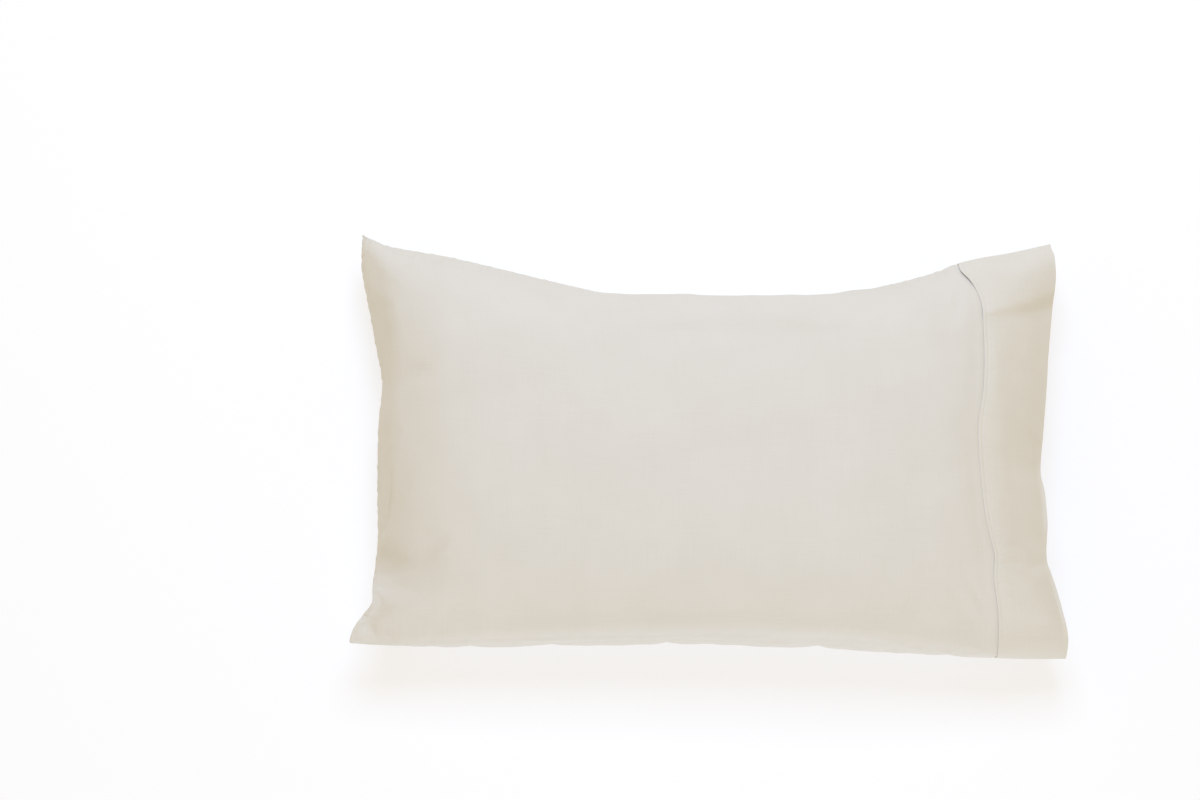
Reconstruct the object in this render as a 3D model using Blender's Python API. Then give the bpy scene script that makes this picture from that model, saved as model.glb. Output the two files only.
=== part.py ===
# A pillowcase with its pillow inside, lying on its back with its open cuff to the right.
# X runs along the case, Y across it and Z up from the surface that it lies on.
# The origin is on that surface, under the middle of the outline.

import math
from collections import namedtuple

import bmesh
import bpy
from mathutils import Vector

MM = 0.001  # all sizes below are in millimetres

# The long edges, from the pointed corners at the left to the mouth at the right.
# "seam" is the height of the edge above the surface, and "overhang" how far the face bulges over
# the upper edge.
LongEdge = namedtuple("LongEdge", "x upper lower seam overhang")
LONG_EDGES = [
    LongEdge(-399, 245, -229, 58, 0),
    LongEdge(-392, 244, -231, 60, 0),
    LongEdge(-365, 228, -232, 70, 0),
    LongEdge(-327, 218, -231.5, 78, 0),
    LongEdge(-288, 210, -230, 82, 0),
    LongEdge(-178, 182, -227, 86, 0),
    LongEdge(-129, 169, -226, 87, 3),
    LongEdge(-42, 158, -224, 88, 15),
    LongEdge(40, 153, -225, 88, 20),
    LongEdge(120, 158, -228, 88, 14),
    LongEdge(188, 172, -233, 87, 6),
    LongEdge(254, 190, -239, 85, 0),
    LongEdge(286, 202, -242, 82, 0),
    LongEdge(315, 210, -244, 79, 0),
    LongEdge(343, 217, -245, 72, 0),
    LongEdge(399, 233, -244, 62, 0),
]
OVERHANG_FROM = 0.86  # the bulge lies above this share of the way up

# The sewn left end, by how far up each point is from the lower edge (0) to the upper edge (1).
# "rise" is how the face rises from the end: 0.4 for a steep side, 1.1 for the flat flap of the lower corner.
# "lift" is how far the end stands above the seam's own height, where the lower corner's flap is turned up.
ClosedEnd = namedtuple("ClosedEnd", "up x rise lift")
CLOSED_END = [
    ClosedEnd(0.00, -396, 1.10, 35),
    ClosedEnd(0.02, -393, 1.10, 41),
    ClosedEnd(0.035, -390, 1.10, 44),
    ClosedEnd(0.056, -383, 1.10, 47),
    ClosedEnd(0.078, -375, 1.10, 47),
    ClosedEnd(0.095, -370, 1.10, 45),
    ClosedEnd(0.12, -370, 1.10, 38),
    ClosedEnd(0.145, -371, 1.00, 26),
    ClosedEnd(0.17, -371, 0.82, 12),
    ClosedEnd(0.195, -371, 0.64, 2),
    ClosedEnd(0.225, -370, 0.55, 0),
    ClosedEnd(0.26, -369, 0.49, 0),
    ClosedEnd(0.38, -370, 0.44, 0),
    ClosedEnd(0.54, -370, 0.42, 0),
    ClosedEnd(0.65, -367, 0.40, 0),
    ClosedEnd(0.74, -375, 0.40, 0),
    ClosedEnd(0.80, -381, 0.40, 0),
    ClosedEnd(0.87, -389, 0.40, 0),
    ClosedEnd(0.92, -393, 0.42, 0),
    ClosedEnd(1.00, -392, 0.45, 0),
]

# The lines across the cuff: its folded edge or lip, how far that stands off the body, the rims
# of the mouth's two layers, and how far the front one flares.
CuffLine = namedtuple("CuffLine", "up lip lift front_rim back_rim flare")
CUFF_LINES = [
    CuffLine(0.00, 317, 0.0, 396, 396, 0),
    CuffLine(0.02, 315, 0.0, 395, 395, 19),
    CuffLine(0.04, 314, 0.0, 393, 392, 32),
    CuffLine(0.10, 311, 0.0, 385, 383, 37),
    CuffLine(0.15, 307, 0.0, 379, 377, 36),
    CuffLine(0.19, 306, 0.0, 374, 372, 33),
    CuffLine(0.22, 307, 0.0, 371, 369, 28),
    CuffLine(0.26, 303, 0.0, 372, 369, 20),
    CuffLine(0.31, 298, 0.0, 374, 371, 13),
    CuffLine(0.39, 294, 0.0, 373, 370, 5),
    CuffLine(0.43, 293, 0.0, 370, 369, 3),
    CuffLine(0.46, 292, 0.0, 371, 370, 1),
    CuffLine(0.54, 292, 0.0, 376, 374, 0),
    CuffLine(0.63, 299, 0.0, 381, 379, 0),
    CuffLine(0.72, 302, 0.0, 385, 383, 0),
    CuffLine(0.80, 303, 0.0, 390, 388, 1),
    CuffLine(0.83, 303, 0.0, 392, 390, 2),
    CuffLine(0.86, 302, 0.0, 393, 391, 7),
    CuffLine(0.90, 297, 0.0, 395, 393, 18),
    CuffLine(0.93, 291, 1.8, 395, 393, 21),
    CuffLine(0.96, 284, 1.4, 395, 393, 16),
    CuffLine(0.98, 283, 0.0, 394, 393, 8),
    CuffLine(1.00, 284, 0.0, 394, 394, 0),
]

# How full the case is, from the closed end (0) to the mouth (1): the height of its crown above the edges,
# and how sharply its sections close, from 0.8 for a round side to 1.5 for two flat layers that meet.
Fullness = namedtuple("Fullness", "along crown close")
FULLNESS = [
    Fullness(0.00, 88, 0.85),
    Fullness(0.10, 96, 0.85),
    Fullness(0.30, 107, 0.78),
    Fullness(0.50, 110, 0.70),
    Fullness(0.68, 110, 0.70),
    Fullness(0.78, 105, 0.80),
    Fullness(0.86, 97, 0.92),
    Fullness(0.92, 83, 1.05),
    Fullness(0.96, 60, 1.20),
    Fullness(1.00, 24, 1.40),
]
CLOSED_END_LENGTH = 0.17  # the share of the length over which the closed end rounds off
CROWN_SHIFT = 0.96  # below 1 the crown lies nearer the lower edge
FLAT_BACK = 0.70  # the back touches the surface wherever it is fuller than this
MOUTH_FROM = 0.86  # from this share of the length on, the back rises off the surface to the mouth
MOUTH_BACK_DEPTH = 17  # how far the back layer hangs below the edges at the mouth

# The tips of the pointed corners hold no filling, so the two layers lie together as far as "reach".
Corner = namedtuple("Corner", "x y reach")
CORNERS = [Corner(-392, 244, 26), Corner(-396, -232, 62)]

# The main folds of the face: soft troughs, or ridges where the depth is below zero. "left" and "right" are
# their widths on either side of the way from the first end to the second.
# Each fades from its middle to its ends, and near the edges of the case.
FOLD_TAPER = 0.6
FOLD_FADE = 4.0
Fold = namedtuple("Fold", "x0 y0 x1 y1 depth left right")
FOLDS = [
    Fold(-400, 254, -350, 170, -5.0, 30, 9),  # the ridge that runs from the upper corner's tip
    Fold(-362, 200, -346, 60, -3.5, 30, 9),  # the turn from the closed end to the face
    Fold(-326, 199, -178, 157, 4.0, 12, 14),  # the shoulder's hollow beside the upper corner
    Fold(-350, -45, -364, -105, 3.0, 7, 7),  # the crease at the middle of the closed end
    Fold(-400, -120, -290, -162, 3.0, 9, 9),  # the pull from the lower corner
    Fold(-390, -189, -290, -201, -5.0, 22, 10),  # the top of the lower corner's flap
    Fold(132, 158, 288, 178, 6.0, 13, 13),  # the shoulder's hollow beside the cuff
    Fold(62, 132, 292, 104, -4.0, 24, 20),  # the crown's line above the face
    Fold(270, 123, 284, -97, 1.0, 12, 12),  # the dip before the cuff's lip
    Fold(290, 125, 400, 170, -4.0, 16, 7),  # the turn below the cuff's flat upper corner
    Fold(290, 106, 500, 190, 3.0, 8, 30),  # the hollow below that turn
    Fold(310, -129, 342, -133, 1.8, 5, 5),  # the puckers beside the cuff's stitches
    Fold(309, -147, 348, -153, 1.8, 5, 5),
    Fold(311, -163, 340, -171, 1.2, 5, 5),
]

CUFF_WALL = 2.4  # the band folded double, with its seam
CUFF_GAP = 0.7  # between the cuff and the body under it
LIFT_REACH = 0.25  # the share of the cuff's depth over which a lifted lip comes down
STEP_LENGTH = 10  # the body steps in over this length before it runs under the lip
BODY_END_LEAST = 7  # how far the filled body reaches past the lip at its edges
BODY_END_REACH = 36  # how much farther it reaches at its middle
BODY_END_CLOSE = 0.6  # how round its end is, seen from above

ROWS = 40  # steps from the lower edge to the upper edge
BODY_STEPS = 42  # steps from the closed end to the lip
END_STEPS = 8  # steps of the body inside the cuff
CUFF_STEPS = 9  # steps from the lip to the mouth


def between(start, end, share):
    return start + (end - start) * share


def smooth_step(value):
    value = min(max(value, 0.0), 1.0)
    return value * value * (3 - 2 * value)


def read_curve(rows, column, where):
    """The value of a column where a smooth curve through the rows passes the given place."""
    places = [row[0] for row in rows]
    values = [getattr(row, column) for row in rows]
    last = len(rows) - 1
    if where <= places[0]:
        return values[0]
    if where >= places[last]:
        return values[last]
    at = max(i for i in range(last) if places[i] <= where)

    def slope(i):
        before, after = max(i - 1, 0), min(i + 1, last)
        return (values[after] - values[before]) / (places[after] - places[before])

    span = places[at + 1] - places[at]
    u = (where - places[at]) / span
    return (
        values[at] * (1 + 2 * u) * (1 - u) ** 2
        + values[at + 1] * (3 - 2 * u) * u**2
        + slope(at) * span * u * (1 - u) ** 2
        - slope(at + 1) * span * u**2 * (1 - u)
    )


def edge_spaced(steps):
    """Shares from 0 to 1 that lie closer together at both ends, where the cloth turns."""
    return [(1 - math.cos(math.pi * i / steps)) / 2 for i in range(steps + 1)]


def start_spaced(steps):
    """Shares from 0 to 1 that lie closer together at the start."""
    return [1 - math.cos(math.pi * i / steps / 2) for i in range(steps + 1)]


def end_spaced(steps):
    """Shares from 0 to 1 that lie closer together at the end."""
    return [math.sin(math.pi * i / steps / 2) for i in range(steps + 1)]


def section_share(up, close):
    """The share of the crown's height that a point has, by how far up the section it is."""
    shifted = up**CROWN_SHIFT
    round_side = 2 * math.sqrt(max(shifted * (1 - shifted), 0.0))
    return round_side**close


def fold_depth(x, y):
    """How far the folds sink the face at a point."""
    depth = 0.0
    for fold in FOLDS:
        start = Vector((fold.x0, fold.y0))
        run = Vector((fold.x1, fold.y1)) - start
        there = Vector((x, y)) - start
        share = there.dot(run) / run.length_squared
        away = (there - run * min(max(share, 0.0), 1.0)).length
        width = fold.left if run.cross(there) > 0 else fold.right
        ends = smooth_step((FOLD_TAPER - abs(share - 0.5)) / FOLD_TAPER)
        depth += fold.depth * ends * math.exp(-((away / width) ** 2))
    return depth


def corner_share(x, y):
    """0 at the tip of a pointed corner, 1 where the filling begins."""
    return min(smooth_step(math.hypot(x - tip.x, y - tip.y) / tip.reach) for tip in CORNERS)


def share_along(x, up, rim):
    """How far along the case a point is, from the closed end (0) to that rim of the mouth (1)."""
    closed = read_curve(CLOSED_END, "x", up)
    return (x - closed) / (read_curve(CUFF_LINES, rim, up) - closed)


def closed_share(along):
    """1 at the closed end, 0 from where it no longer rounds off the case."""
    return 1 - min(max(along, 0.0) / CLOSED_END_LENGTH, 1.0)


def place(x, up, inset, side):
    """How far across the case a point of the front (side 1) or the back (side -1) is,
    and how high the edges are there."""
    upper = read_curve(LONG_EDGES, "upper", x) - inset
    lower = read_curve(LONG_EDGES, "lower", x) + inset
    y = between(lower, upper, up)
    if side > 0 and up > OVERHANG_FROM:
        near_edge = (1 - up) / (1 - OVERHANG_FROM)
        y += read_curve(LONG_EDGES, "overhang", x) * 4 * near_edge * (1 - near_edge)
    near_end = closed_share(share_along(x, up, "front_rim"))
    return y, read_curve(LONG_EDGES, "seam", x) + read_curve(CLOSED_END, "lift", up) * near_end**2


def fullness(x, y, up, along):
    """How full the case is at a point, from 0 at its edges to 1 at its crown."""
    end = (1 - closed_share(along) ** 2) ** read_curve(CLOSED_END, "rise", up)
    section = section_share(up, read_curve(FULLNESS, "close", along))
    return end * section * corner_share(x, y)


def front_height(x, y, up):
    """How far the front of the case stands above its edges."""
    along = share_along(x, up, "front_rim")
    full = fullness(x, y, up, along)
    flare = read_curve(CUFF_LINES, "flare", up) * smooth_step((along - MOUTH_FROM) / (1 - MOUTH_FROM))
    height = read_curve(FULLNESS, "crown", along) * full + flare
    return height - fold_depth(x, y) * min(full * FOLD_FADE, 1.0)


def back_depth(x, y, up, seam):
    """How far the back of the case hangs below its edges: it lies flat where it meets the surface."""
    along = share_along(x, up, "back_rim")
    crown = read_curve(FULLNESS, "crown", along) / read_curve(FULLNESS, "crown", 0.5)
    full = fullness(x, y, up, along)
    resting = math.sin(math.pi / 2 * min(full * crown / FLAT_BACK, 1.0)) * seam
    at_mouth = MOUTH_BACK_DEPTH * section_share(up, 1.0)
    mouth_share = smooth_step((along - MOUTH_FROM) / (1 - MOUTH_FROM))
    return between(resting, at_mouth, mouth_share)


def cloth_material(name, red, green, blue, roughness):
    material = bpy.data.materials.new(name)
    material.use_nodes = True
    cloth = material.node_tree.nodes["Principled BSDF"]
    cloth.inputs["Base Color"].default_value = (red, green, blue, 1)
    cloth.inputs["Roughness"].default_value = roughness
    cloth.inputs["Metallic"].default_value = 0
    return material


def finished_object(name, mesh, material):
    bmesh.ops.recalc_face_normals(mesh, faces=mesh.faces)
    data = bpy.data.meshes.new(name)
    mesh.to_mesh(data)
    mesh.free()
    data.materials.append(material)
    data.shade_smooth()
    data.set_sharp_from_angle(angle=math.radians(50))
    thing = bpy.data.objects.new(name, data)
    bpy.context.scene.collection.objects.link(thing)
    return thing


def bridge(mesh, first, second):
    """Joins two rows of points with faces, leaving out a face that has shrunk to an edge."""
    for i in range(len(first) - 1):
        corners = [first[i], first[i + 1], second[i + 1], second[i]]
        corners = [corner for k, corner in enumerate(corners) if corner not in corners[:k]]
        if len(corners) > 2:
            mesh.faces.new(corners)


def body_places(up):
    """Where the body's skin has points along its length, each with how much of its height is left there:
    all of it as far as the cuff, and then less and less as the end rounds off."""
    closed = read_curve(CLOSED_END, "x", up)
    lip = read_curve(CUFF_LINES, "lip", up)
    end = lip + BODY_END_LEAST + BODY_END_REACH * section_share(up, BODY_END_CLOSE)
    face = [(between(closed, lip - STEP_LENGTH, share), 1.0) for share in start_spaced(BODY_STEPS)]
    inside = [(between(lip, end, share), math.sqrt(1 - share**2)) for share in end_spaced(END_STEPS)]
    return face + inside


def body_point(x, height_left, up, side):
    """A point of the filled body's front (side 1) or back (side -1).
    The body steps in before it runs under the cuff."""
    lip = read_curve(CUFF_LINES, "lip", up)
    step_in = (CUFF_WALL + CUFF_GAP) * smooth_step((x - lip + STEP_LENGTH) / STEP_LENGTH)
    y, seam = place(x, up, step_in, side)
    if side > 0:
        height = front_height(x, y, up) - step_in
    else:
        height = back_depth(x, y, up, seam) - step_in * section_share(up, 1.0)
    return Vector((x, y, seam + side * max(height, 0.0) * height_left)) * MM


def build_body(material):
    ups = edge_spaced(ROWS)
    places = [body_places(up) for up in ups]
    columns = len(places[0])
    mesh = bmesh.new()
    front, back = [], []
    for column in range(columns):
        over = [mesh.verts.new(body_point(*places[row][column], up, 1)) for row, up in enumerate(ups)]
        under = list(over)
        if 0 < column < columns - 1:
            for row in range(1, ROWS):
                under[row] = mesh.verts.new(body_point(*places[row][column], ups[row], -1))
        front.append(over)
        back.append(under)
    for column in range(columns - 1):
        bridge(mesh, front[column], front[column + 1])
        bridge(mesh, back[column + 1], back[column])
    return finished_object("case_body", mesh, material)


def cuff_point(share, up, side, inset):
    """A point of the cuff's outer skin, or of its inner skin where it is set in by the wall."""
    lip = read_curve(CUFF_LINES, "lip", up)
    rim = read_curve(CUFF_LINES, "front_rim" if side > 0 else "back_rim", up)
    x = between(lip, rim, share)
    y, seam = place(x, up, inset, side)
    lift = read_curve(CUFF_LINES, "lift", up) * max(1 - share / LIFT_REACH, 0.0)
    if side > 0:
        height = front_height(x, y, up) + lift
    else:
        height = back_depth(x, y, up, seam)
    set_in = inset * section_share(up, 1.0)
    return Vector((x, y, seam + side * max(height - set_in, 0.0))) * MM


def cuff_loop(mesh, share, inset):
    """One ring of points round the sleeve, back to its first point."""
    ups = edge_spaced(ROWS)
    front = [mesh.verts.new(cuff_point(share, up, 1, inset)) for up in ups]
    back = [mesh.verts.new(cuff_point(share, up, -1, inset)) for up in ups[-2:0:-1]]
    return front + back + front[:1]


def build_cuff(material):
    mesh = bmesh.new()
    shares = [step / CUFF_STEPS for step in range(CUFF_STEPS + 1)]
    outer = [cuff_loop(mesh, share, 0.0) for share in shares]
    inner = [cuff_loop(mesh, share, CUFF_WALL) for share in shares]
    for step in range(CUFF_STEPS):
        bridge(mesh, outer[step], outer[step + 1])
        bridge(mesh, inner[step + 1], inner[step])
    bridge(mesh, inner[0], outer[0])
    bridge(mesh, outer[-1], inner[-1])
    return finished_object("cuff", mesh, material)


def main():
    for thing in list(bpy.data.objects):
        bpy.data.objects.remove(thing, do_unlink=True)
    build_body(cloth_material("cream cotton", 0.78, 0.75, 0.69, 0.75))
    build_cuff(cloth_material("cream cotton band", 0.77, 0.74, 0.68, 0.72))


main()
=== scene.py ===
# A cream cotton pillowcase on its pillow, lying on its back with the open cuff to the right
import math
import random

import bpy
import numpy as np
from mathutils import Matrix, Vector


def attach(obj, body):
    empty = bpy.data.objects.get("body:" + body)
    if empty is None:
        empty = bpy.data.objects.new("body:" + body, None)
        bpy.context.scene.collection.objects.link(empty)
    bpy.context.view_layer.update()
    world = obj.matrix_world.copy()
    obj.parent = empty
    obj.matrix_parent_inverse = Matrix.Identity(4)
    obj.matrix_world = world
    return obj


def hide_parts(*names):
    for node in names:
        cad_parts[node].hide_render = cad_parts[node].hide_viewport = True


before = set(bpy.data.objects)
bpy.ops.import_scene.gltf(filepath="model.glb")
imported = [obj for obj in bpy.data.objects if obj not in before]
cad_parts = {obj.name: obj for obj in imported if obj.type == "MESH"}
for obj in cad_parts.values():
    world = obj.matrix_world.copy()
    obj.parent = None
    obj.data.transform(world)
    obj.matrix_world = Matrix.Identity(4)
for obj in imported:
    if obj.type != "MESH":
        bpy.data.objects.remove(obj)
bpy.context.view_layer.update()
print("frame loaded:", ", ".join(sorted(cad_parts)))

mm = 0.001  # sizes in the tables are in millimetres

# The outline and fullness of the case and its cuff, the same sizes as in the solids
caseShape = {
    # x, upper edge, lower edge, height of the seam, how far the face bulges over the upper edge
    "longEdges": [
        (-399, 245, -229, 58, 0),
        (-392, 244, -231, 60, 0),
        (-365, 228, -232, 70, 0),
        (-327, 218, -231.5, 78, 0),
        (-288, 210, -230, 82, 0),
        (-178, 182, -227, 86, 0),
        (-129, 169, -226, 87, 3),
        (-42, 158, -224, 88, 15),
        (40, 153, -225, 88, 20),
        (120, 158, -228, 88, 14),
        (188, 172, -233, 87, 6),
        (254, 190, -239, 85, 0),
        (286, 202, -242, 82, 0),
        (315, 210, -244, 79, 0),
        (343, 217, -245, 72, 0),
        (399, 233, -244, 62, 0),
    ],
    "overhangFrom": 0.86,  # how far up the case the bulge over the upper edge begins
    # how far up the case, x of the sewn end, how flat the face rises from it, how far that edge is lifted
    "closedEnd": [
        (0.00, -396, 1.10, 35),
        (0.02, -393, 1.10, 41),
        (0.035, -390, 1.10, 44),
        (0.056, -383, 1.10, 47),
        (0.078, -375, 1.10, 47),
        (0.095, -370, 1.10, 45),
        (0.12, -370, 1.10, 38),
        (0.145, -371, 1.00, 26),
        (0.17, -371, 0.82, 12),
        (0.195, -371, 0.64, 2),
        (0.225, -370, 0.55, 0),
        (0.26, -369, 0.49, 0),
        (0.38, -370, 0.44, 0),
        (0.54, -370, 0.42, 0),
        (0.65, -367, 0.40, 0),
        (0.74, -375, 0.40, 0),
        (0.80, -381, 0.40, 0),
        (0.87, -389, 0.40, 0),
        (0.92, -393, 0.42, 0),
        (1.00, -392, 0.45, 0),
    ],
    # how far up the case, lip of the cuff, how far it stands off, front rim, back rim, flare of the front
    "cuffLines": [
        (0.00, 317, 0.0, 396, 396, 0),
        (0.02, 315, 0.0, 395, 395, 19),
        (0.04, 314, 0.0, 393, 392, 32),
        (0.10, 311, 0.0, 385, 383, 37),
        (0.15, 307, 0.0, 379, 377, 36),
        (0.19, 306, 0.0, 374, 372, 33),
        (0.22, 307, 0.0, 371, 369, 28),
        (0.26, 303, 0.0, 372, 369, 20),
        (0.31, 298, 0.0, 374, 371, 13),
        (0.39, 294, 0.0, 373, 370, 5),
        (0.43, 293, 0.0, 370, 369, 3),
        (0.46, 292, 0.0, 371, 370, 1),
        (0.54, 292, 0.0, 376, 374, 0),
        (0.63, 299, 0.0, 381, 379, 0),
        (0.72, 302, 0.0, 385, 383, 0),
        (0.80, 303, 0.0, 390, 388, 1),
        (0.83, 303, 0.0, 392, 390, 2),
        (0.86, 302, 0.0, 393, 391, 7),
        (0.90, 297, 0.0, 395, 393, 18),
        (0.93, 291, 1.8, 395, 393, 21),
        (0.96, 284, 1.4, 395, 393, 16),
        (0.98, 283, 0.0, 394, 393, 8),
        (1.00, 284, 0.0, 394, 394, 0),
    ],
    # how far along the case, height of the crown, how sharply the sections close
    "fullness": [
        (0.00, 88, 0.85),
        (0.10, 96, 0.85),
        (0.30, 107, 0.78),
        (0.50, 110, 0.70),
        (0.68, 110, 0.70),
        (0.78, 105, 0.80),
        (0.86, 97, 0.92),
        (0.92, 83, 1.05),
        (0.96, 60, 1.20),
        (1.00, 24, 1.40),
    ],
    "closedEndLength": 0.17,  # the share of the length over which the closed end rounds off
    "crownShift": 0.96,  # below one, the crown lies a little below the middle
    "flatBack": 0.70,  # where the case is fuller than this, its back lies flat on the floor
    "mouthFrom": 0.86,  # how far along the case the mouth begins to open
    "mouthBackDepth": 17,  # how far the back layer hangs below the edges at the mouth
    "foldFade": 4,  # folds fade where the case is less full than one over this
    # where each corner is, and how far its two layers lie together
    "corners": [(-392, 244, 26), (-396, -232, 62)],
    # how far the body's rounded end reaches into the cuff, at its edges and more at its middle
    "bodyEndLeast": 7,
    "bodyEndReach": 36,
    "bodyEndClose": 0.6,
    # the body steps in beside the lip, and some more under the cuff
    "stepLength": 4,
    "stepDepth": 1.2,
    "underCuffLength": 3,
    "underCuffDepth": 0.55,
    "standOffShare": 0.25,  # the share of the cuff's depth over which its lip stands off
    # soft troughs of the face, or ridges where the depth is below zero: x and y at both ends, depth, and
    # the widths to the left and right of the way from the first end to the second
    "folds": [
        (-400, 254, -350, 170, -5.0, 30, 9),  # the ridge that runs down from the upper corner
        (-362, 200, -346, 60, -3.5, 30, 9),  # it goes on along the closed end
        (-326, 199, -178, 157, 4.0, 12, 14),  # the hollow of the left shoulder
        (-350, -45, -364, -105, 3.0, 7, 7),  # the crease at the middle of the closed end
        (-400, -120, -290, -162, 3.0, 9, 9),  # the hollow above the lower corner's flap
        (-390, -189, -290, -201, -5.0, 22, 10),  # the flap itself
        (132, 158, 288, 178, 6.0, 13, 13),  # the hollow of the right shoulder
        (62, 132, 292, 104, -4.0, 24, 20),  # the soft ridge below it
        (270, 123, 284, -97, 1.0, 12, 12),  # the dip beside the lip
        (290, 125, 400, 170, -4.0, 16, 7),  # the ridge below the cuff's flat upper corner
        (290, 106, 500, 190, 3.0, 8, 30),  # the band turns in below that ridge
        (310, -129, 342, -133, 1.8, 5, 5),  # three puckers beside the stitches
        (309, -147, 348, -153, 1.8, 5, 5),
        (311, -163, 340, -171, 1.2, 5, 5),
    ],
}

# What each column of the tables holds, after the place in the first
tableColumns = {
    "longEdges": ["upper", "lower", "seam", "overhang"],
    "closedEnd": ["end", "close", "lift"],
    "cuffLines": ["lip", "standOff", "frontRim", "backRim", "flare"],
    "fullness": ["crown", "close"],
}


def smoothStep(value):
    # eases from none at 0 to all at 1
    value = np.clip(value, 0, 1)
    return value * value * (3 - 2 * value)


def readCurve(table, column, where):
    # the value of a table's column where a smooth curve through its rows passes each place
    rows = caseShape[table]
    places = np.array([row[0] for row in rows], float)
    values = np.array([row[1 + tableColumns[table].index(column)] for row in rows], float)
    last = len(rows) - 1
    before = np.maximum(np.arange(last + 1) - 1, 0)
    after = np.minimum(np.arange(last + 1) + 1, last)
    slopes = (values[after] - values[before]) / (places[after] - places[before])
    where = np.clip(where, places[0], places[last])
    at = np.clip(np.searchsorted(places, where, side="right") - 1, 0, last - 1)
    span = places[at + 1] - places[at]
    u = (where - places[at]) / span
    return (
        values[at] * (1 + 2 * u) * (1 - u) ** 2
        + values[at + 1] * (3 - 2 * u) * u**2
        + slopes[at] * span * u * (1 - u) ** 2
        - slopes[at + 1] * span * u**2 * (1 - u)
    )


def sectionShare(up, close):
    # how full a section is that far up it: none at both edges, and one at its crown
    shifted = np.clip(up, 0, 1) ** caseShape["crownShift"]
    return (2 * np.sqrt(np.clip(shifted * (1 - shifted), 0, None))) ** close


def foldDepth(folds, x, y, taper=0.6):
    # soft folds that are deepest at the middle of their length, and fade a little past its ends
    depth = np.zeros_like(x)
    for x0, y0, x1, y1, deep, left, right in folds:
        run = np.array([x1 - x0, y1 - y0], float)
        share = ((x - x0) * run[0] + (y - y0) * run[1]) / run.dot(run)
        held = np.clip(share, 0, 1)
        away = np.hypot(x - x0 - run[0] * held, y - y0 - run[1] * held)
        width = np.where(run[0] * (y - y0) - run[1] * (x - x0) > 0, left, right)
        depth += deep * smoothStep((taper - abs(share - 0.5)) / taper) * np.exp(-((away / width) ** 2))
    return depth


def besideLine(points, x, y):
    # how far each place is from a line through the points, and how far along the line it is, from 0 to 1
    points = np.array(points, float)
    lengths = np.linalg.norm(np.diff(points, axis=0), axis=1)
    nearest = np.full_like(x, 1e6)
    along = np.zeros_like(x)
    for i, (start, run) in enumerate(zip(points, np.diff(points, axis=0))):
        held = np.clip(((x - start[0]) * run[0] + (y - start[1]) * run[1]) / run.dot(run), 0, 1)
        away = np.hypot(x - start[0] - run[0] * held, y - start[1] - run[1] * held)
        along = np.where(away < nearest, (lengths[:i].sum() + lengths[i] * held) / lengths.sum(), along)
        nearest = np.minimum(nearest, away)
    return nearest, along


def creaseDepth(creases, x, y, taper=0.25, blunt=0.3):
    # narrow creases that fade over the taper towards both their ends, where a blunt part of them is left
    depth = np.zeros_like(x)
    for points, deep, width in creases:
        away, along = besideLine(points, x, y)
        ends = smoothStep(blunt + np.minimum(along, 1 - along) / taper)
        depth += deep * ends * np.exp(-((away / width) ** 2))
    return depth


def placeAcross(x, up, inset, front):
    # y and seam height of a point that is that far up the case
    upper = readCurve("longEdges", "upper", x) - inset
    lower = readCurve("longEdges", "lower", x) + inset
    y = lower + (upper - lower) * up
    if front:
        nearEdge = np.clip((1 - up) / (1 - caseShape["overhangFrom"]), 0, 1)
        arch = 4 * nearEdge * (1 - nearEdge)  # one half way, and none at both ends
        y += readCurve("longEdges", "overhang", x) * arch
    closed = readCurve("closedEnd", "end", up)
    rim = readCurve("cuffLines", "frontRim", up)
    fromEnd = 1 - np.clip((x - closed) / (rim - closed) / caseShape["closedEndLength"], 0, 1)
    lift = readCurve("closedEnd", "lift", up) * fromEnd**2
    return y, readCurve("longEdges", "seam", x) + lift


def fullness(x, y, up, along):
    # how full the case is at each place, from none at its edges and corners to one along its crown
    atCorners = [smoothStep(np.hypot(x - cx, y - cy) / reach) for cx, cy, reach in caseShape["corners"]]
    closedEnd = 1 - np.clip(along / caseShape["closedEndLength"], 0, 1)
    end = (1 - closedEnd**2) ** readCurve("closedEnd", "close", up)
    section = sectionShare(up, readCurve("fullness", "close", along))
    return end * section * atCorners[0] * atCorners[1]


def skinHeight(x, y, up, seam, front):
    # how far the front stands above the edges, or the back hangs below them
    closed = readCurve("closedEnd", "end", up)
    rim = readCurve("cuffLines", "frontRim" if front else "backRim", up)
    along = (x - closed) / (rim - closed)
    full = fullness(x, y, up, along)
    crown = readCurve("fullness", "crown", along)
    mouthShare = smoothStep((along - caseShape["mouthFrom"]) / (1 - caseShape["mouthFrom"]))
    if front:
        flare = readCurve("cuffLines", "flare", up) * mouthShare
        folds = foldDepth(caseShape["folds"], x, y) * np.minimum(full * caseShape["foldFade"], 1)
        return crown * full + flare - folds
    halfWay = np.array(0.5)
    middle = readCurve("fullness", "crown", halfWay)
    resting = np.sin(math.pi / 2 * np.minimum(full * crown / middle / caseShape["flatBack"], 1)) * seam
    atMouth = caseShape["mouthBackDepth"] * sectionShare(up, 1.0)
    return resting + (atMouth - resting) * mouthShare


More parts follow.
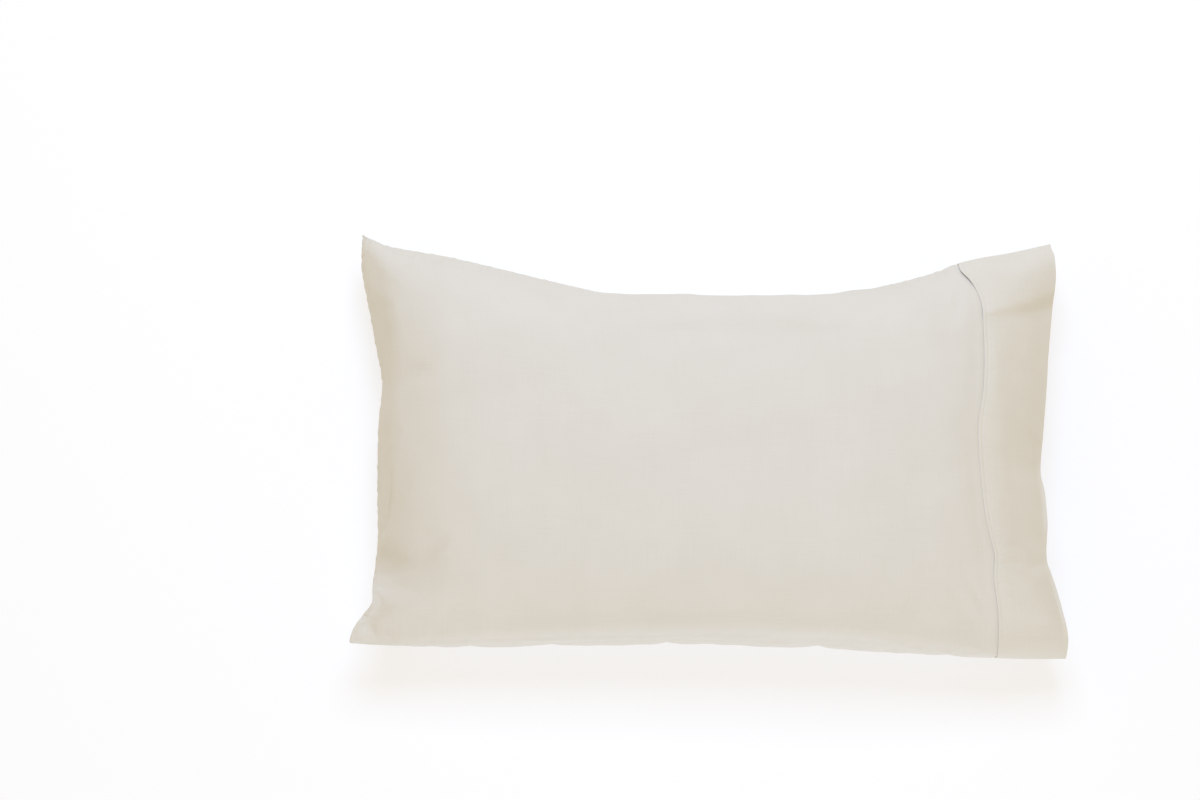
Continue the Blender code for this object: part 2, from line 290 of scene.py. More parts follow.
def bodySkin(along, up, front):
    # points of the body: along runs from 0 at the closed end to 1 beside the lip, and to 2 inside the cuff
    shape = caseShape
    closed = readCurve("closedEnd", "end", up)
    lip = readCurve("cuffLines", "lip", up)
    inside = np.clip(along - 1, 0, 1)
    reach = shape["bodyEndLeast"] + shape["bodyEndReach"] * sectionShare(up, shape["bodyEndClose"])
    x = np.where(
        along < 1,
        closed + (lip - shape["stepLength"] - closed) * along,
        lip - shape["stepLength"] + (reach + shape["stepLength"]) * inside,
    )
    beside = smoothStep((x - lip + shape["stepLength"]) / shape["stepLength"])
    under = smoothStep((x - lip) / shape["underCuffLength"])
    stepIn = shape["stepDepth"] * beside + shape["underCuffDepth"] * under
    y, seam = placeAcross(x, up, stepIn, front)
    height = skinHeight(x, y, up, seam, front)
    height = height - stepIn * (1 if front else sectionShare(up, 1.0))
    pastLip = np.clip((x - lip) / reach, 0, 1)
    height = np.maximum(height, 0) * np.sqrt(1 - pastLip**2)
    return np.stack([x, y, seam + (height if front else -height)], axis=-1) * mm


def cuffSkin(share, up, front):
    # points of the cuff's outer face, from its lip (0) to its mouth (1)
    lip = readCurve("cuffLines", "lip", up)
    rim = readCurve("cuffLines", "frontRim" if front else "backRim", up)
    x = lip + (rim - lip) * share
    y, seam = placeAcross(x, up, 0, front)
    height = skinHeight(x, y, up, seam, front)
    if front:
        nearLip = np.clip(1 - share / caseShape["standOffShare"], 0, None)
        height = height + readCurve("cuffLines", "standOff", up) * nearLip
    return np.stack([x, y, seam + (height if front else -height)], axis=-1) * mm


def unevenWaves(run, lengths, seed):
    # a wavy value between -1 and 1 along a run, from waves of these lengths
    chance = random.Random(seed)
    waves = [np.sin(2 * math.pi * (run / length + chance.random())) for length in lengths]
    return sum(waves) / len(waves)


def softRumples(x, y, lengths, seed):
    # an uneven soft relief between -1 and 1 over a face, from waves that cross it every way
    chance = random.Random(seed)
    relief = np.zeros_like(x)
    for length in lengths:
        turn = chance.uniform(0, math.pi)
        run = x * math.cos(turn) + y * math.sin(turn)
        relief += np.sin(2 * math.pi * (run / length + chance.random()))
    return relief / math.sqrt(len(lengths))


def evenShares(count, crowding):
    # shares from 0 to 1, closer together at both ends
    even = np.linspace(0, 1, count + 1)
    return even - crowding * np.sin(2 * math.pi * even) / (2 * math.pi)


def evenlyAcross(skin, alongs, count, crowding, front, steps=301):
    # how far up the points of each column are, so that they are evenly spaced on the cloth itself
    fine = (1 - np.cos(np.linspace(0, math.pi, steps))) / 2
    wanted = evenShares(count, crowding)
    columns = []
    for along in alongs:
        points = skin(np.full_like(fine, along), fine, front)
        run = np.concatenate([[0], np.cumsum(np.linalg.norm(np.diff(points, axis=0), axis=1))])
        columns.append(np.interp(wanted * run[-1], run, fine))
    return np.array(columns).T


def selectOnly(piece):
    bpy.ops.object.select_all(action="DESELECT")
    piece.select_set(True)
    bpy.context.view_layer.objects.active = piece


def flatCloth(name, columns, rows):
    # a flat cloth of that many cells, and its points' order by rows
    bpy.ops.object.select_all(action="DESELECT")
    bpy.ops.mesh.primitive_grid_add(x_subdivisions=columns, y_subdivisions=rows, size=1, calc_uvs=True)
    cloth = bpy.context.active_object
    cloth.name = name
    cloth.data.name = name
    flat = np.array([vertex.co for vertex in cloth.data.vertices])
    return cloth, np.lexsort((flat[:, 0].round(5), flat[:, 1].round(5)))


def drape(cloth, order, points):
    # moves the flat cloth's points to their places, and gives it a map in metres of cloth
    placed = np.empty((len(cloth.data.vertices), 3))
    placed[order] = points.reshape(-1, 3)
    cloth.data.vertices.foreach_set("co", placed.ravel())
    along = np.linalg.norm(np.diff(points, axis=1), axis=2).cumsum(axis=1)
    across = np.linalg.norm(np.diff(points, axis=0), axis=2).cumsum(axis=0)
    along = np.pad(along, ((0, 0), (1, 0)))
    across = np.pad(across, ((1, 0), (0, 0)))
    across = across - across[points.shape[0] // 2]
    along = along - along[:, points.shape[1] // 2][:, None]
    spread = np.empty((len(cloth.data.vertices), 2))
    spread[order] = np.stack([along, across], axis=-1).reshape(-1, 2)
    faceCorners = np.empty(len(cloth.data.loops), int)
    cloth.data.loops.foreach_get("vertex_index", faceCorners)
    cloth.data.uv_layers.active.name = "clothRun"
    cloth.data.uv_layers.active.data.foreach_set("uv", spread[faceCorners].ravel())
    cloth.data.update()


def sew(first, second, name, within=0.00002):
    # joins two cloths and merges the points along their common edges
    selectOnly(first)
    second.select_set(True)
    bpy.ops.object.join()
    bpy.ops.object.mode_set(mode="EDIT")
    bpy.ops.mesh.select_all(action="SELECT")
    bpy.ops.mesh.remove_doubles(threshold=within)
    bpy.ops.mesh.normals_make_consistent(inside=False)
    bpy.ops.object.mode_set(mode="OBJECT")
    first.name = name
    first.data.name = name
    return first


def pointsOf(piece):
    places = np.empty(len(piece.data.vertices) * 3)
    piece.data.vertices.foreach_get("co", places)
    return places.reshape(-1, 3)


def setPoints(piece, places):
    piece.data.vertices.foreach_set("co", places.ravel())
    piece.data.update()


def normalsOf(piece):
    normals = np.empty(len(piece.data.vertices) * 3)
    piece.data.vertices.foreach_get("normal", normals)
    return normals.reshape(-1, 3)


def subdivided(piece, levels=1):
    # rounds a cloth's cells and shades it smooth
    selectOnly(piece)
    rounding = piece.modifiers.new("rounding", "SUBSURF")
    rounding.levels = levels
    rounding.render_levels = levels
    bpy.ops.object.modifier_apply(modifier=rounding.name)
    bpy.ops.object.shade_smooth()


# Materials: colours in sRGB, patterns laid on the cloth by its own run


def linearColour(hexColour):
    # an sRGB hex colour as the linear values that a shader takes
    values = [int(hexColour[i : i + 2], 16) / 255 for i in (1, 3, 5)]
    linear = [v / 12.92 if v <= 0.04045 else ((v + 0.055) / 1.055) ** 2.4 for v in values]
    return (*linear, 1)


def addNode(material, kind, settings=None, links=None):
    # adds a node, with its properties and inputs set by name or number, and its inputs linked
    node = material.node_tree.nodes.new(kind)
    for name, value in (settings or {}).items():
        if isinstance(name, str) and hasattr(node, name):
            setattr(node, name, value)
        else:
            node.inputs[name].default_value = value
    for name, output in (links or {}).items():
        material.node_tree.links.new(output, node.inputs[name])
    return node


cottonLooks = {
    # real threads are about 0.2 mm apart, too fine for the view, so they are drawn coarser
    "threadPitch": 1.2,
    "threadDepth": 0.03,
    "threadStrength": 0.5,
    "threadWander": {"Distortion": 0.6, "Detail": 1.0, "Detail Scale": 0.6},
    "slubWidth": 1.8,
    "slubLength": 50,
    "slubDepth": 0.06,
    "slubStrength": 0.6,
    "slubGrain": {"Detail": 3.0, "Roughness": 0.55},
    "patchSize": 1000 / 11,  # the cloth's shade drifts over patches, eleven to the metre
    "patchShare": 0.8,
    "patchGrain": {"Detail": 3.0, "Roughness": 0.55},
    "shadeRange": {"From Min": 0.6, "From Max": 1.2},
    "rumpleSize": 30,
    "rumpleDepth": 0.6,
    "rumpleStrength": 0.3,
    "rumpleGrain": {"Detail": 2.0, "Roughness": 0.45},
    "roughnessSpread": 0.05,
    # cotton shines little, and its fine fuzz catches a warm light where the cloth turns away
    "surface": {
        "IOR": 1.45,
        "Specular IOR Level": 0.2,
        "Sheen Weight": 0.12,
        "Sheen Roughness": 0.5,
        "Sheen Tint": (1.0, 0.97, 0.93, 1),
    },
}


def cottonCloth(name, colour, darker, roughness):
    # smooth cotton: slubby threads both ways give it faint streaks, and a soft fuzz gives it its sheen
    look = cottonLooks
    material = bpy.data.materials.new(name)
    material.use_nodes = True
    cloth = material.node_tree.nodes["Principled BSDF"]
    run = addNode(material, "ShaderNodeUVMap", {"uv_map": "clothRun"}).outputs["UV"]
    long = 1 / (look["slubLength"] * mm)
    wide = 1 / (look["slubWidth"] * mm)
    streaks = []
    for stretch in ((wide, long, 1), (long, wide, 1)):
        multiply = {"operation": "MULTIPLY", 1: stretch}
        stretched = addNode(material, "ShaderNodeVectorMath", multiply, {0: run})
        grain = {"Scale": 1.0, **look["slubGrain"]}
        slubs = addNode(material, "ShaderNodeTexNoise", grain, {"Vector": stretched.outputs[0]})
        streaks.append(slubs.outputs["Fac"])
    slubSum = addNode(material, "ShaderNodeMath", {"operation": "ADD"}, {0: streaks[0], 1: streaks[1]})
    halve = {"operation": "MULTIPLY", 1: 0.5}
    slubMean = addNode(material, "ShaderNodeMath", halve, {0: slubSum.outputs[0]})
    grain = {"Scale": 1 / (look["patchSize"] * mm), **look["patchGrain"]}
    patches = addNode(material, "ShaderNodeTexNoise", grain, {"Vector": run})
    blend = addNode(
        material,
        "ShaderNodeMath",
        {"operation": "MULTIPLY_ADD", 1: look["patchShare"]},
        {0: patches.outputs["Fac"], 2: slubMean.outputs[0]},
    )
    shade = addNode(material, "ShaderNodeMapRange", look["shadeRange"], {"Value": blend.outputs[0]})
    tint = addNode(
        material,
        "ShaderNodeMix",
        {"data_type": "RGBA", 6: linearColour(darker), 7: linearColour(colour)},
        {0: shade.outputs["Result"]},
    )
    material.node_tree.links.new(tint.outputs[2], cloth.inputs["Base Color"])
    bands = []
    for direction in ("X", "Y"):
        # at a scale of one this node has a band every pi / 10 metres, and each is as wide as two threads
        bandScale = math.pi / 10 / (2 * look["threadPitch"] * mm)
        wave = {"wave_type": "BANDS", "bands_direction": direction, "Scale": bandScale}
        wave.update(look["threadWander"])
        threads = addNode(material, "ShaderNodeTexWave", wave, {"Vector": run})
        bands.append(threads.outputs["Fac"])
    weave = addNode(material, "ShaderNodeMath", {"operation": "MULTIPLY"}, {0: bands[0], 1: bands[1]})
    grain = {"Scale": 1 / (look["rumpleSize"] * mm), **look["rumpleGrain"]}
    rumples = addNode(material, "ShaderNodeTexNoise", grain, {"Vector": run})
    relief = None
    for height, depth, strength in (
        (weave.outputs[0], look["threadDepth"], look["threadStrength"]),
        (slubMean.outputs[0], look["slubDepth"], look["slubStrength"]),
        (rumples.outputs["Fac"], look["rumpleDepth"], look["rumpleStrength"]),
    ):
        links = {"Height": height}
        if relief:
            links["Normal"] = relief.outputs["Normal"]
        relief = addNode(material, "ShaderNodeBump", {"Strength": strength, "Distance": depth * mm}, links)
    material.node_tree.links.new(relief.outputs["Normal"], cloth.inputs["Normal"])
    rough = addNode(
        material,
        "ShaderNodeMapRange",
        {"To Min": roughness - look["roughnessSpread"], "To Max": roughness + look["roughnessSpread"]},
        {"Value": slubMean.outputs[0]},
    )
    material.node_tree.links.new(rough.outputs["Result"], cloth.inputs["Roughness"])
    for socket, value in look["surface"].items():
        cloth.inputs[socket].default_value = value
    return material


# plain-woven cotton, washed and pressed: matt and even, its slubs only a breath darker than the rest
creamCotton = cottonCloth("creamCotton", "#dfdcd6", "#dad7cf", 0.72)
# the same cotton doubled, and smoother; its colour is painted a shade lighter and warmer than the case's,
# which is painted light for the light that shines through the unfilled band
creamCottonBandPaintedLight = cottonCloth("creamCottonBandPaintedLight", "#e1ded7", "#dbd8cf", 0.68)
# the pillow's tightly woven ticking: whiter and duller than the case that it shows against
whiteTicking = cottonCloth("whiteTicking", "#e6e6e4", "#dededa", 0.75)
# spun and twisted cotton thread: smoother than cloth, so that each stitch has a lit side and a dark one
creamThread = cottonCloth("creamThread", "#e2dfd8", "#d5d1c7", 0.55)
print("materials ready")

# The filled body of the case
filledCase = {
    "columns": 116,
    "endColumns": 10,
    "rows": 88,
    "crowding": 0.5,  # how much closer together the columns and rows are towards the edges
    "frames": 20,
    "swellLimit": 3.5,
    "startSmaller": 2,
    "extraCloth": 0.012,  # how much more cloth there is than the shape needs, so that it ripples
    "cloth": {
        "quality": 4,
        "mass": 0.15,
        "tension_stiffness": 8,
        "compression_stiffness": 8,
        "shear_stiffness": 2,
        "bending_stiffness": 0.6,
        "use_pressure": True,
        "uniform_pressure_force": 4.0,
    },
    # where the cloth is held: near its seams, beside the lip, and low down beside the floor
    "heldNearSeams": 14,
    "heldBesideLip": 4,
    "freeFromLip": 24,
    "freeAboveFloor": 10,
    "heldBelow": 0.02,  # a point that is less free than this doesn't move
    # the seam's own strip along the sewn edges, a little deeper here and there
    "seamWidth": 4.5,
    "seamSpread": 1.4,
    "seamDepth": 0.8,
    "seamEvenness": 0.75,
    "seamWaves": (17, 29),
    # the puckers that it draws into the cloth beside it
    "puckerDepth": 0.9,
    "puckerReach": 12,
    "puckerStart": 3,
    "puckerWaves": (8.5, 13, 21),
    # the folded lower edge has softer and longer ones
    "foldPuckerDepth": 0.4,
    "foldPuckerReach": 16,
    "foldPuckerStart": 6,
    "foldPuckerWaves": (19, 33, 47),
    # the seam also shows on the two shoulders, a little below the upper edge
    "shoulderSeams": [
        [(-372, 224), (-355, 212), (-319, 202), (-279, 189), (-231, 179), (-164, 168)],
        [(196, 166), (236, 176), (272, 187), (290, 194)],
    ],
    "shoulderDepth": 0.9,
    "shoulderWidth": 2.0,
    "shoulderTaper": 0.15,
    "shoulderPuckerDepth": 0.8,
    "shoulderPuckerReach": 8,
    "shoulderPuckerWaves": (7.5, 11, 16),
    "rumpleDepth": 0.5,
    "rumpleWaves": (52, 67, 81, 95, 120, 38, 45),
    "rumplesOffSeams": 30,
    "seeds": {"upper": 3, "closed": 8, "fold": 5, "shoulders": 51, "rumples": 21},
    # all that relief ends beside the lip, and on the floor
    "plainBesideLip": 6,
    "reliefFromLip": 12,
    "reliefAboveFloor": 8,
    # sharper creases of the face: the points that each follows, its depth and its width
    "creases": [
        ([(-349, -45), (-352, -76), (-361, -112)], 3.0, 3.2),  # at the middle of the closed end
        ([(-374, -201), (-380, -215)], 1.8, 2.0),  # the fold inside the lower corner
        ([(-366, -100), (-366, 110), (-379, 190)], 3.5, 12.0),  # the closed end turns in more steeply
        ([(-343, -90), (-343, 110), (-356, 180)], -2.5, 12.0),  # and is a little fuller beside that
    ],
    "pockets": [([(-379, -188), (-381, -198)], 15.0, 5.5)],  # behind the lower corner, in both layers
    "pocketWay": (0, 0.208, -0.978),  # which way they sink
    "tickingFrom": 8,  # the pillow's ticking begins inside the cuff, this far from the lip
    "mouthWidth": 450,  # about how wide the case is there
}


def buildFilledCase(look):
    endShares = 1 + np.sin(np.linspace(0, math.pi / 2, look["endColumns"] + 1))[1:]
    alongs = np.concatenate([evenShares(look["columns"], look["crowding"]), endShares])
    cloths = []
    for front in (True, False):
        ups = evenlyAcross(bodySkin, alongs, look["rows"], look["crowding"], front)
        points = bodySkin(np.broadcast_to(alongs, ups.shape), ups, front)
        cloth, order = flatCloth("caseLayer", len(alongs) - 1, look["rows"])
        drape(cloth, order, points)
        cloths.append(cloth)
    return sew(*cloths, "filled_case")


def placesOnCase(places):
    # in millimetres: x, y, z, how far up the case, and how far off the upper seam, the fold and the end
    x, y, z = (places / mm).T
    upper = readCurve("longEdges", "upper", x)
    lower = readCurve("longEdges", "lower", x)
    up = np.clip((y - lower) / (upper - lower), 0, 1)
    seam = placeAcross(x, up, 0, False)[1]
    closed = readCurve("closedEnd", "end", up)
    offUpper = np.hypot(upper - y, z - seam)
    offLower = np.hypot(y - lower, z - seam)
    offClosed = np.hypot(x - closed, z - seam)
    return x, y, z, up, offUpper, offLower, offClosed


def plump(piece, look, tinyLimit=1e-6, tinyMove=1e-9):
    # the filling's pressure swells the cloth from a slightly smaller shape, while its seams are held;
    # the two tiny values only keep it from dividing by nothing
    start = pointsOf(piece)
    normals = normalsOf(piece)
    x, y, z, up, offUpper, offLower, offClosed = placesOnCase(start)
    lip = readCurve("cuffLines", "lip", up)
    nearest = np.minimum(np.minimum(offUpper, offLower), offClosed)
    offLip = lip - look["heldBesideLip"] - x
    free = smoothStep(nearest / look["heldNearSeams"]) * smoothStep(offLip / look["freeFromLip"])
    free = free * smoothStep(z / look["freeAboveFloor"])
    setPoints(piece, start - normals * (look["startSmaller"] * mm * free)[:, None])
    held = piece.vertex_groups.new(name="held")
    held.add([int(i) for i in np.flatnonzero(free < look["heldBelow"])], 1.0, "REPLACE")
    selectOnly(piece)
    bpy.ops.object.modifier_add(type="CLOTH")
    cloth = piece.modifiers[-1]
    settings = cloth.settings
    for name, value in look["cloth"].items():
        setattr(settings, name, value)
    settings.vertex_group_mass = "held"
    settings.shrink_min = -look["extraCloth"]
    settings.effector_weights.gravity = 0
    scene = bpy.context.scene
    for frameNumber in range(1, look["frames"] + 1):
        scene.frame_set(frameNumber)
    swollen = piece.evaluated_get(bpy.context.evaluated_depsgraph_get())
    moved = np.empty(len(piece.data.vertices) * 3)
    swollen.data.vertices.foreach_get("co", moved)
    piece.modifiers.remove(cloth)
    piece.vertex_groups.remove(held)
    scene.frame_set(1)
    move = moved.reshape(-1, 3) - start
    far = np.linalg.norm(move, axis=1)
    most, mean = float(far.max()) / mm, float(far.mean()) / mm
    print("cloth moved up to", round(most, 1), "mm, mean", round(mean, 2))
    limit = look["swellLimit"] * mm * free
    kept = limit * np.tanh(far / np.maximum(limit, tinyLimit))
    end = start + move * (kept / np.maximum(far, tinyMove))[:, None]
    end[:, 2] = np.maximum(end[:, 2], 0)
    setPoints(piece, end)


def finishCaseFace(piece, look):
    # the sewn edges' strip and puckers, and the cloth's own soft relief
    places = pointsOf(piece)
    normals = normalsOf(piece)
    x, y, z, up, offUpper, offLower, offClosed = placesOnCase(places)
    seam = placeAcross(x, up, 0, False)[1]
    lip = readCurve("cuffLines", "lip", up)
    onFace = smoothStep((lip - look["plainBesideLip"] - x) / look["reliefFromLip"])
    seeds = look["seeds"]
    sunk = np.zeros_like(x)
    for off, run, seed in ((offUpper, x, seeds["upper"]), (offClosed, y, seeds["closed"])):
        strip = np.exp(-(((off - look["seamWidth"]) / look["seamSpread"]) ** 2))
        puckers = unevenWaves(run, look["puckerWaves"], seed) * np.exp(-((off / look["puckerReach"]) ** 2))
        uneven = (1 - look["seamEvenness"]) * unevenWaves(run, look["seamWaves"], seed + 1)
        sunk += look["seamDepth"] * strip * (look["seamEvenness"] + uneven)
        sunk += look["puckerDepth"] * puckers * smoothStep(off / look["puckerStart"])
    foldWaves = unevenWaves(x, look["foldPuckerWaves"], seeds["fold"])
    foldPuckers = foldWaves * np.exp(-((offLower / look["foldPuckerReach"]) ** 2))
    sunk += look["foldPuckerDepth"] * foldPuckers * smoothStep(offLower / look["foldPuckerStart"])
    onFront = z > seam
    for i, line in enumerate(look["shoulderSeams"]):
        away, along = besideLine(line, x, y)
        ends = smoothStep(np.minimum(along, 1 - along) / look["shoulderTaper"]) * onFront
        sunk += look["shoulderDepth"] * ends * np.exp(-((away / look["shoulderWidth"]) ** 2))
        waves = unevenWaves(x, look["shoulderPuckerWaves"], seeds["shoulders"] + i)
        puckers = waves * np.exp(-((away / look["shoulderPuckerReach"]) ** 2))
        sunk += look["shoulderPuckerDepth"] * ends * puckers
    sunk += creaseDepth(look["creases"], x, y) * onFront
    rumples = look["rumpleDepth"] * softRumples(x, y, look["rumpleWaves"], seeds["rumples"])
    offLong = smoothStep(np.minimum(offUpper, offLower) / look["rumplesOffSeams"])
    sunk += rumples * offLong * smoothStep(offClosed / look["rumplesOffSeams"])
    pocketed = creaseDepth(look["pockets"], x, y)[:, None] * np.array(look["pocketWay"])
    sunk = sunk * onFace * smoothStep(z / look["reliefAboveFloor"])
    setPoints(piece, places + pocketed * mm - normals * (sunk * mm)[:, None])
    # the end inside the cuff is the pillow's own ticking
    for face in piece.data.polygons:
        centre = face.center / mm
        lower = readCurve("longEdges", "lower", centre.x)
        share = np.clip((centre.y - lower) / look["mouthWidth"], 0, 1)
        face.material_index = int(centre.x > readCurve("cuffLines", "lip", share) + look["tickingFrom"])


caseBody = buildFilledCase(filledCase)
print("case body draped:", len(caseBody.data.polygons), "faces")
plump(caseBody, filledCase)
subdivided(caseBody)
caseBody.data.materials.append(creamCotton)
caseBody.data.materials.append(whiteTicking)
finishCaseFace(caseBody, filledCase)
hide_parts("case_body")
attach(caseBody, "root")
print("case body finished")

# The cuff: a band folded double, sewn on beside its folded edge
cuffBand = {
    "around": 188,
    "deep": 32,
    "crowding": 0.6,
    "thickness": 1.1,
    # distances from the folded edge that is the lip, how far each line is sunk, and over which width
    "lipDrop": 0.2,  # the folded edge lies down on the body
    "lipWidth": 1.6,
    "stitchLine": 4.4,
    "stitchSink": 0.9,
    "turningEdge": 8.3,  # the edge of the turned-in cloth shows faintly through the band
    "turningSink": 0.35,
    "lineWidth": 1.2,
    # a row of needle marks: its distance, pitch, depth and width, and from which y to which
    "needleMarks": (10.5, 7.8, 0.6, 1.5, 42, 139),
    "needleTaper": 15,
    # the puckers beside the stitches, and how far up the case they are pulled deepest
    "puckerDepth": 0.5,
    "puckerMiddle": 9,
    "puckerReach": 5,
    "puckerWaves": (7.3, 9.6, 12.5),
    "pulledAt": 0.22,
    "pulledSpread": 0.06,
    "pulledMore": 2.2,
    "rumpleDepth": 0.8,
    "rumpleWaves": (34, 46, 59, 73, 90),
    "rumplesFrom": 8,
    "rumplesReach": 30,
    "plainAtEdges": 0.03,  # the share of the way up, at both long edges, over which all relief fades
    "seeds": {"puckers": 31, "rumples": 44},
    # where the rim turns up: from and to how far up the case, how far it rises, and over which width
    "rimCurls": [(0.25, 0.46, 5.5, 5.5), (0.03, 0.21, 4.5, 4.5)],
    "curlBreadth": 0.7,  # below one, a curl keeps its height for longer along the rim
    # soft troughs of its face, as the case's folds are given
    "folds": [
        (376, -138, 336, -165, 2.0, 8, 8),  # the pull from the waist of the mouth
        (330, -216, 402, -210, -4.0, 15, 8),  # the turn above the flat lower corner
        (374, 135, 372, -50, 3.0, 12, 13),  # the band falls off towards its rim
        (317, 125, 312, 10, -1.6, 10, 10),  # a soft ridge along the upper half of the stitches
        (330, -40, 334, 20, 0.8, 9, 9),  # a faint dip at the middle of the band
        (350, 152, 412, 178, -4.0, 12, 6),  # the flat upper corner ends at a soft ridge
        (346, 136, 412, 162, 2.0, 6, 16),  # the hollow below that ridge
    ],
    # the sharper ridge below its flat upper corner: the points that it follows, its depth and width
    "creases": [([(300, 129), (320, 133), (361, 147), (381, 158), (398, 172)], -1.4, 5.0)],
}


def reliefOfCuff(x, y, up, lip, look):
    # how far the cuff's face is sunk beside its stitches and by its folds
    off = x - lip
    seeds = look["seeds"]
    sunk = look["lipDrop"] * np.exp(-((off / look["lipWidth"]) ** 2))
    sunk += look["stitchSink"] * np.exp(-(((off - look["stitchLine"]) / look["lineWidth"]) ** 2))
    sunk += look["turningSink"] * np.exp(-(((off - look["turningEdge"]) / look["lineWidth"]) ** 2))
    beside = np.exp(-(((off - look["puckerMiddle"]) / look["puckerReach"]) ** 2))
    puckers = unevenWaves(y, look["puckerWaves"], seeds["puckers"]) * beside
    pulled = 1 + look["pulledMore"] * np.exp(-(((up - look["pulledAt"]) / look["pulledSpread"]) ** 2))
    sunk += look["puckerDepth"] * puckers * pulled
    fromLip, pitch, deep, width, lowest, highest = look["needleMarks"]
    marks = (0.5 + 0.5 * np.cos(2 * math.pi * y / pitch)) ** 2 * np.exp(-(((off - fromLip) / width) ** 2))
    lowerEnd = smoothStep((y - lowest) / look["needleTaper"])
    sunk += deep * marks * lowerEnd * smoothStep((highest - y) / look["needleTaper"])
    sunk += foldDepth(look["folds"], x, y) + creaseDepth(look["creases"], x, y)
    rumples = look["rumpleDepth"] * softRumples(x, y, look["rumpleWaves"], seeds["rumples"])
    sunk += rumples * smoothStep((off - look["rumplesFrom"]) / look["rumplesReach"])
    return sunk * smoothStep(np.minimum(up, 1 - up) / look["plainAtEdges"])


def curlOfRim(x, up, look):
    # how far the edge of the mouth's front layer turns up
    fromRim = readCurve("cuffLines", "frontRim", up) - x
    curl = np.zeros_like(x)
    for lowest, highest, rise, width in look["rimCurls"]:
        along = np.clip((up - lowest) / (highest - lowest), 0, 1)
        bow = np.sin(math.pi * along) ** look["curlBreadth"]
        curl += rise * bow * np.clip(1 - fromRim / width, 0, 1)
    return curl


def buildCuff(look):
    shares = evenShares(look["deep"], look["crowding"])
    cloths = []
    for front in (True, False):
        ups = evenlyAcross(cuffSkin, shares, look["around"], 0.0, front)
        points = cuffSkin(np.broadcast_to(shares, ups.shape), ups, front)
        x, y = points[..., 0] / mm, points[..., 1] / mm
        lip = readCurve("cuffLines", "lip", ups)
        sunk = reliefOfCuff(x, y, ups, lip, look)
        if front:
            points[..., 2] += (curlOfRim(x, ups, look) - sunk) * mm
        else:
            points[..., 2] += np.clip(sunk, 0, None) * mm
        cloth, order = flatCloth("cuffLayer", look["deep"], look["around"])
        drape(cloth, order, points)
        cloths.append(cloth)
    band = sew(*cloths, "cuff_band")
    thick = band.modifiers.new("doubled", "SOLIDIFY")
    thick.thickness = look["thickness"] * mm
    thick.offset = -1
    thick.use_even_offset = True
    selectOnly(band)
    bpy.ops.object.modifier_apply(modifier=thick.name)
    subdivided(band)
    # the band's cotton, painted a shade lighter and warmer than the case's as painted light
    band.data.materials.append(creamCottonBandPaintedLight)
    return band


cuff = buildCuff(cuffBand)
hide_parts("cuff")
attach(cuff, "root")
print("cuff finished")

# The row of stitches that holds the cuff
stitchRow = {
    "pitch": 3.2,
    "length": 2.3,
    "width": 0.5,
    "flatness": 0.7,  # a stitch's height against its width
    "sunk": 0.05,
    "segments": 8,
    "rings": 5,
    # the row runs from and to how far up the case, and is measured at so many places
    "from": 0.004,
    "to": 0.996,
    "steps": 900,
    "lookAhead": 0.5,  # how far along the row the way of each stitch is read
}


def buildStitches(look, band):
    # one stitch is modelled, and a copy is laid at each place along the line, all round the cuff
    line = []
    for front in (True, False):
        ups = np.linspace(look["from"], look["to"], look["steps"])
        ups = ups if front else ups[::-1]
        lip = readCurve("cuffLines", "lip", ups)
        rim = readCurve("cuffLines", "frontRim" if front else "backRim", ups)
        line.append(cuffSkin(cuffBand["stitchLine"] / (rim - lip), ups, front))
    line = np.concatenate(line)
    run = np.concatenate([[0], np.cumsum(np.linalg.norm(np.diff(line, axis=0), axis=1))])
    bpy.ops.object.select_all(action="DESELECT")
    bpy.ops.mesh.primitive_uv_sphere_add(
        segments=look["segments"], ring_count=look["rings"], radius=0.5, calc_uvs=True
    )
    stitch = bpy.context.active_object
    size = (look["length"] * mm, look["width"] * mm, look["width"] * look["flatness"] * mm, 1)
    stitch.data.transform(Matrix.Diagonal(size))
    stitch.data.uv_layers.active.name = "clothRun"
    stitch.data.materials.append(creamThread)
    bpy.ops.object.shade_smooth()
    copies = []
    pitch = look["pitch"] * mm
    for at in np.arange(pitch, run[-1] - pitch, pitch):
        here = Vector([np.interp(at, run, line[:, axis]) for axis in range(3)])
        ahead = Vector([np.interp(at + look["lookAhead"] * mm, run, line[:, axis]) for axis in range(3)])
        place, normal = band.closest_point_on_mesh(here)[1:3]
        along = (ahead - here).normalized()
        across = normal.cross(along).normalized()
        outward = along.cross(across)
        turn = Matrix((along, across, outward)).transposed().to_4x4()
        copy = stitch.copy()
        copy.data = stitch.data.copy()
        copy.data.transform(Matrix.Translation(place - normal * look["sunk"] * mm) @ turn)
        bpy.context.collection.objects.link(copy)
        copies.append(copy)
    bpy.data.objects.remove(stitch)
    selectOnly(copies[0])
    for copy in copies:
        copy.select_set(True)
    bpy.ops.object.join()
    copies[0].name = "cuff_stitches"
    copies[0].data.name = "cuff_stitches"
    print("stitches laid:", len(copies))
    return copies[0]


cuffStitches = buildStitches(stitchRow, cuff)
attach(cuffStitches, "root")
print("stitches finished")

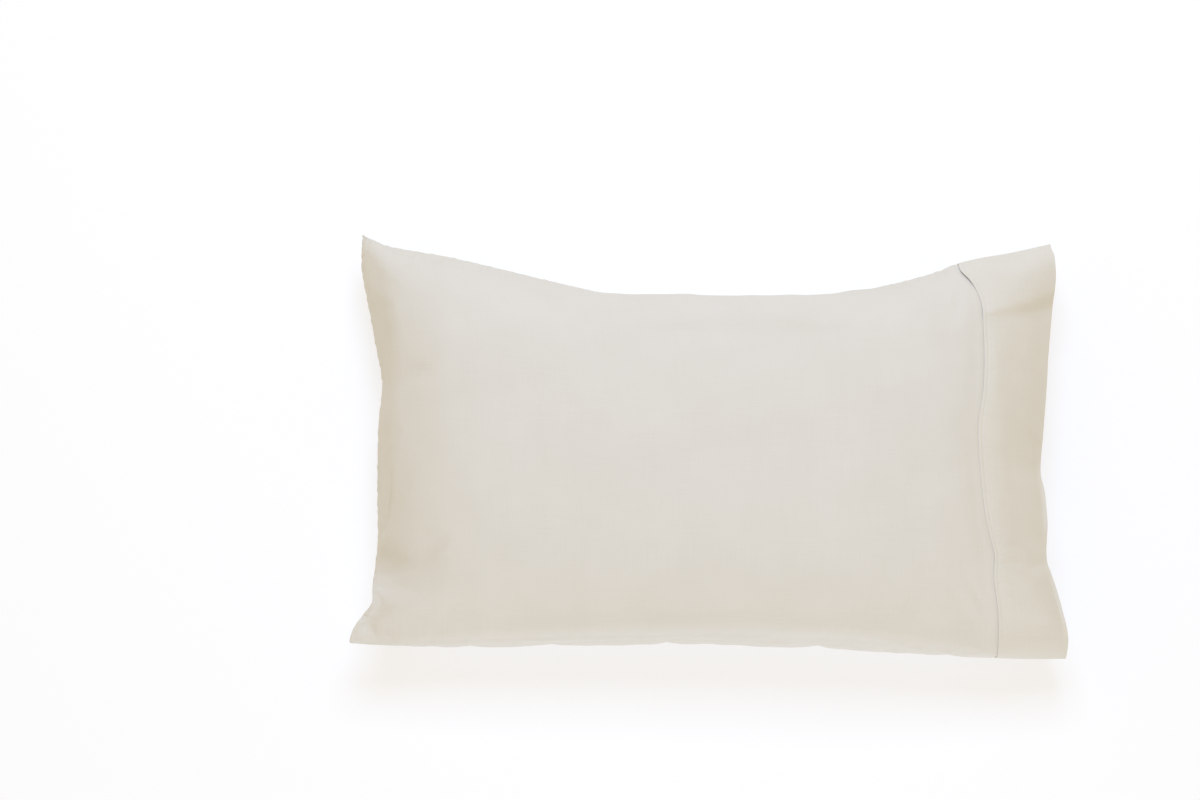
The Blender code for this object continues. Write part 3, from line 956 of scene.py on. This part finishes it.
# Floor, light and camera
studio = {
    # sizes and places in metres
    "floorSize": 12,
    "floorDrop": 0.0005,
    # pale matt paper, lit from below as on a light table, which keeps it white around the case
    "floorColour": "#a8a8a7",
    "floorSurface": {
        "Roughness": 0.9,
        "Specular IOR Level": 0.1,
        "Emission Color": (0.946, 0.957, 1.0, 1),
        "Emission Strength": 0.645,
    },
    # warm light from all round and cooler lamps leave the shadows warmer than the face, as in the photo
    "airColour": (1.0, 0.809, 0.47, 1),
    "airStrength": 0.68,
    "lights": {
        # place, width, height, power, colour
        "topLight": ((0.0, 1.2, 2.6), 1.2, 1.2, 54.5, (0.486, 0.66, 1.0)),
        "lowLight": ((0.0, -2.2, 0.5), 1.6, 0.8, 17.2, (0.536, 0.696, 1.0)),
    },
    "lightsAimAt": (0, 0, 0.1),
    "cameraTilt": 12,
    "cameraDistance": 3.2,
    "sensorWidth": 36,
    "photoWidth": 1200,
    "metresPerPixel": 0.00112,
    "cameraTarget": (-0.1195, 0.0445, 0.085),
}


def buildStudio(look):
    bpy.ops.object.select_all(action="DESELECT")
    bpy.ops.mesh.primitive_plane_add(size=look["floorSize"], location=(0, 0, -look["floorDrop"]))
    floor = bpy.context.active_object
    floor.name = "floor"
    paper = bpy.data.materials.new("palePaper")
    paper.use_nodes = True
    surface = paper.node_tree.nodes["Principled BSDF"]
    surface.inputs["Base Color"].default_value = linearColour(look["floorColour"])
    for name, value in look["floorSurface"].items():
        surface.inputs[name].default_value = value
    floor.data.materials.append(paper)
    world = bpy.data.worlds.new("studioAir")
    bpy.context.scene.world = world
    world.use_nodes = True
    air = world.node_tree.nodes["Background"]
    air.inputs["Color"].default_value = look["airColour"]
    air.inputs["Strength"].default_value = look["airStrength"]
    for name, (place, width, height, power, colour) in look["lights"].items():
        light = bpy.data.lights.new(name, "AREA")
        light.shape = "RECTANGLE"
        light.size = width
        light.size_y = height
        light.energy = power
        light.color = colour
        lamp = bpy.data.objects.new(name, light)
        bpy.context.scene.collection.objects.link(lamp)
        lamp.location = place
        aim = Vector(look["lightsAimAt"]) - lamp.location
        lamp.rotation_euler = aim.to_track_quat("-Z", "Y").to_euler()
    tilt = math.radians(look["cameraTilt"])
    lens = bpy.data.cameras.new("studioCamera")
    lens.sensor_width = look["sensorWidth"]
    lens.lens = look["sensorWidth"] * look["cameraDistance"] / (look["photoWidth"] * look["metresPerPixel"])
    camera = bpy.data.objects.new("studioCamera", lens)
    bpy.context.scene.collection.objects.link(camera)
    towards = Vector((0, -math.sin(tilt), math.cos(tilt)))
    camera.location = Vector(look["cameraTarget"]) + look["cameraDistance"] * towards
    camera.rotation_euler = (tilt, 0, 0)
    bpy.context.scene.camera = camera
    bpy.context.scene.view_settings.view_transform = "Standard"


buildStudio(studio)
print("studio ready")
